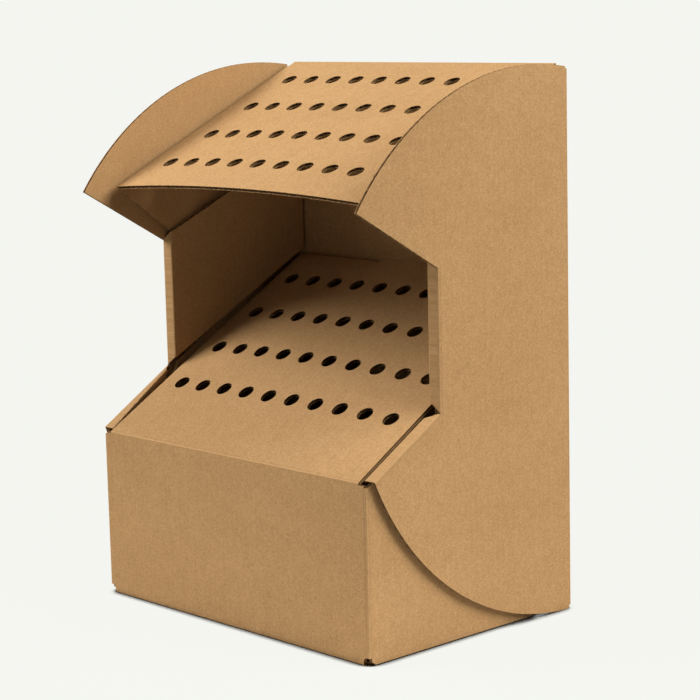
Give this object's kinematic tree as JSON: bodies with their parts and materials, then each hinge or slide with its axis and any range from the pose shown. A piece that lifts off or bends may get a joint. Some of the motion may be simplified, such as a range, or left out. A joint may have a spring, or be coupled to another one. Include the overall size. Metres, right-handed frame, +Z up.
{
  "type": "cardboard display stand",
  "caption": "Counter display stand folded from one blank of corrugated kraft board, with a sloped perforated shelf and top that hold upright shafts between rounded side wings.",
  "frame": {"origin": "middle of the stand's bounding box, at the surface it stands on", "axes": "+X to the right as seen from the open front, +Y towards the back panel, +Z up"},
  "size_m": [0.352, 0.2466, 0.4709],
  "materials": {
    "kraft_board": "matte uncoated kraft liner"
  },
  "bodies": {
    "root": {"folded_stand": "kraft_board"}
  },
  "joints": []
}
